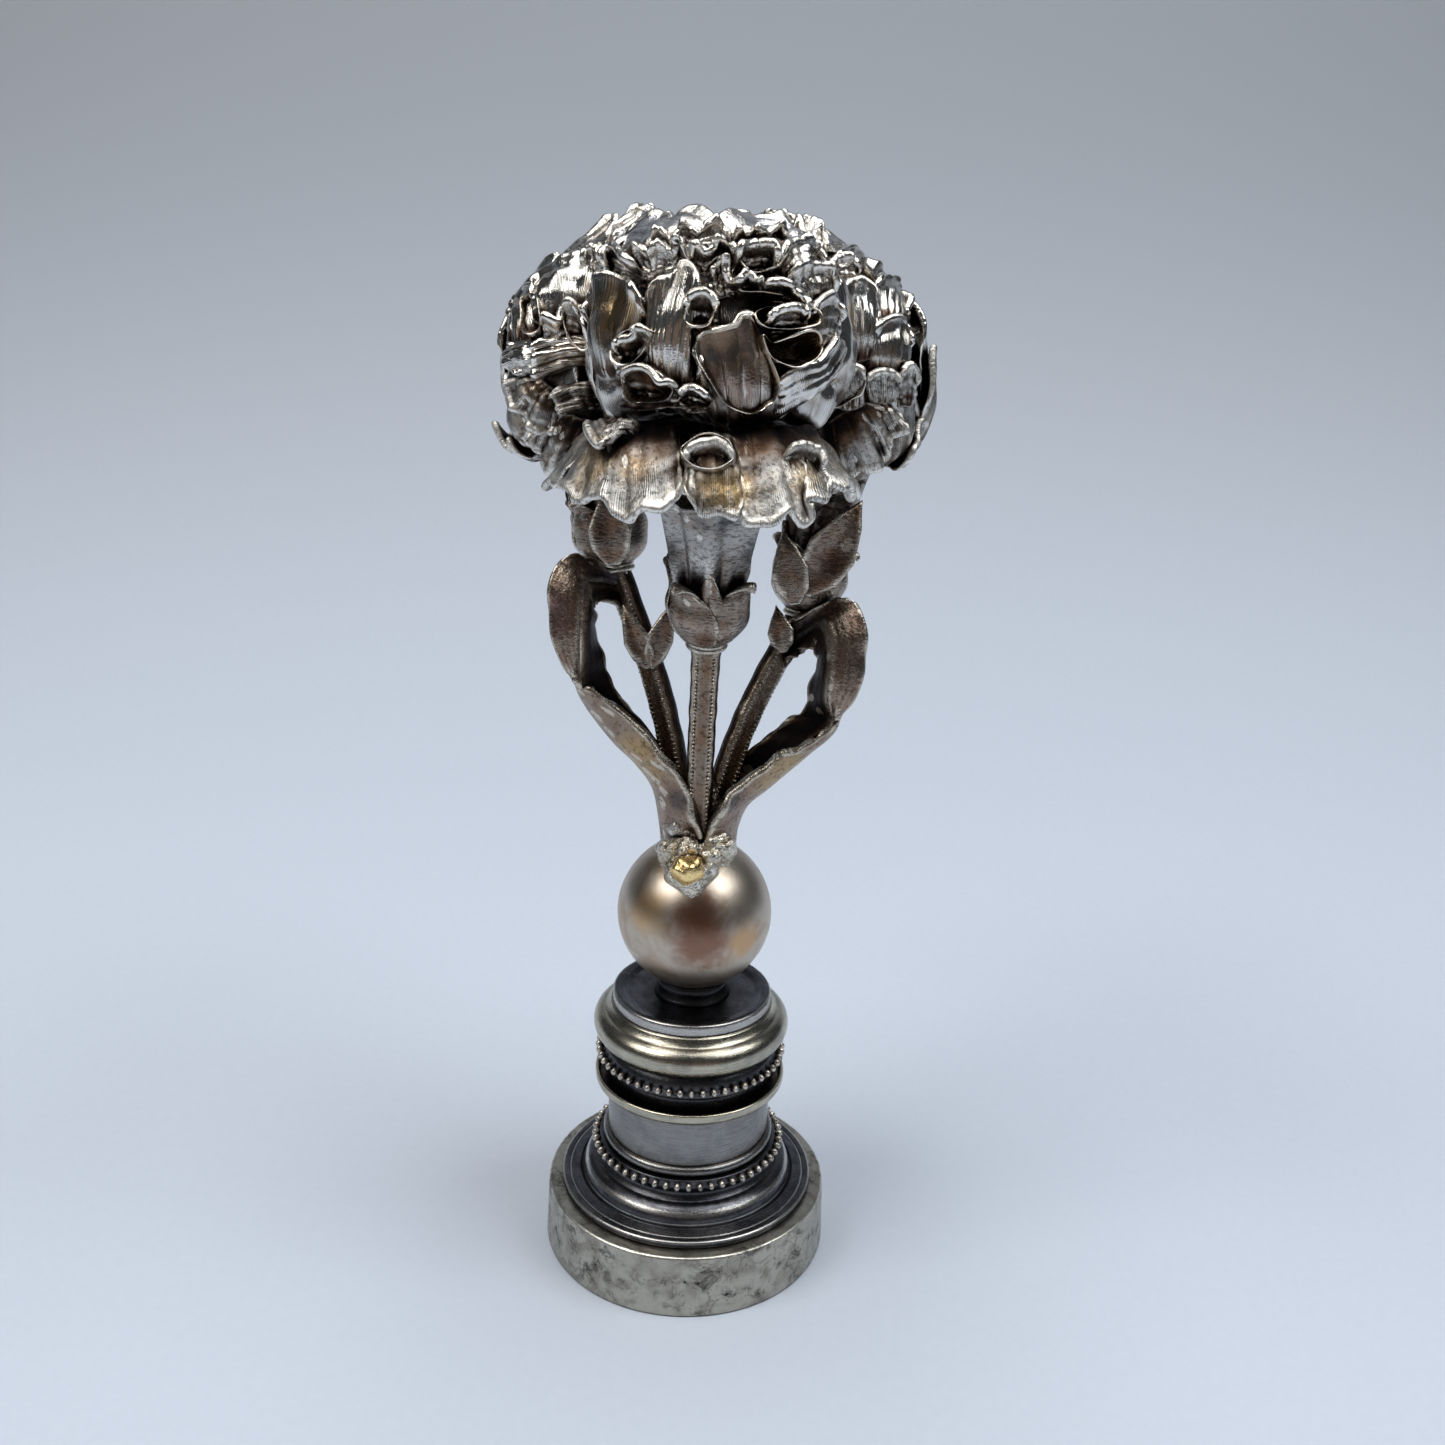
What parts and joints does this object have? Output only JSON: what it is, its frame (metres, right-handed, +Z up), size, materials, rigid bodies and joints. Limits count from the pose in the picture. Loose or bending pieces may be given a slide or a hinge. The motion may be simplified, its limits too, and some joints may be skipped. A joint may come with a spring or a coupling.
{
  "type": "seal_stamp",
  "caption": "Free-standing desk seal in oxidised silver: bare round matrix, turned and beaded foot, ball, and a cast bouquet of carnations with leaves as the grip",
  "frame": {"origin": "on the axis in the middle of the flat seal face, under the drum", "axes": "+X to the right as the picture sees the object, +Y away from the viewer, +Z up along the axis from the seal face to the bouquet"},
  "size_m": [0.0316, 0.031, 0.0783],
  "materials": {
    "drum_silver": "worn yellowish grey silver with fine pitting and dark spots",
    "turned_silver": "polished turned silver, oxidised dark in the grooves",
    "ball_silver": "satin silver with a warm brown toning",
    "cast_silver": "cast and chased silver, bright edges and black oxidised recesses",
    "solder_gold": "bright yellow solder lump, rubbed"
  },
  "bodies": {
    "root": {"ball": "ball_silver", "ball_seat": "turned_silver", "bouquet_neck": "cast_silver", "collar": "turned_silver", "column": "turned_silver", "column_base_ring": "turned_silver", "foot_bead_ring": "turned_silver", "foot_moulding": "turned_silver", "front_blossom_core": "cast_silver", "front_calyx_ring": "cast_silver", "front_calyx_tube": "cast_silver", "front_crown_petals": "cast_silver", "front_guard_petals": "cast_silver", "front_heart_petals": "cast_silver", "front_sepal_cup": "cast_silver", "front_side_petals": "cast_silver", "front_stem": "cast_silver", "gallery_bead_ring": "turned_silver", "gallery_drum": "turned_silver", "left_blossom_core": "cast_silver", "left_bract_inner": "cast_silver", "left_bract_outer": "cast_silver", "left_calyx_ring": "cast_silver", "left_calyx_tube": "cast_silver", "left_crown_petals": "cast_silver", "left_guard_petals": "cast_silver", "left_heart_petals": "cast_silver", "left_leaf": "cast_silver", "left_sepal_cup": "cast_silver", "left_side_petals": "cast_silver", "left_stem": "cast_silver", "right_blossom_core": "cast_silver", "right_bract": "cast_silver", "right_calyx_ring": "cast_silver", "right_calyx_tube": "cast_silver", "right_crown_petals": "cast_silver", "right_guard_petals": "cast_silver", "right_heart_petals": "cast_silver", "right_leaf": "cast_silver", "right_sepal_cup": "cast_silver", "right_side_petals": "cast_silver", "right_stem": "cast_silver", "seal_matrix": "drum_silver", "solder_tab": "solder_gold", "stem_web": "cast_silver", "stepped_cap": "turned_silver", "torus_ring": "turned_silver"}
  },
  "joints": []
}
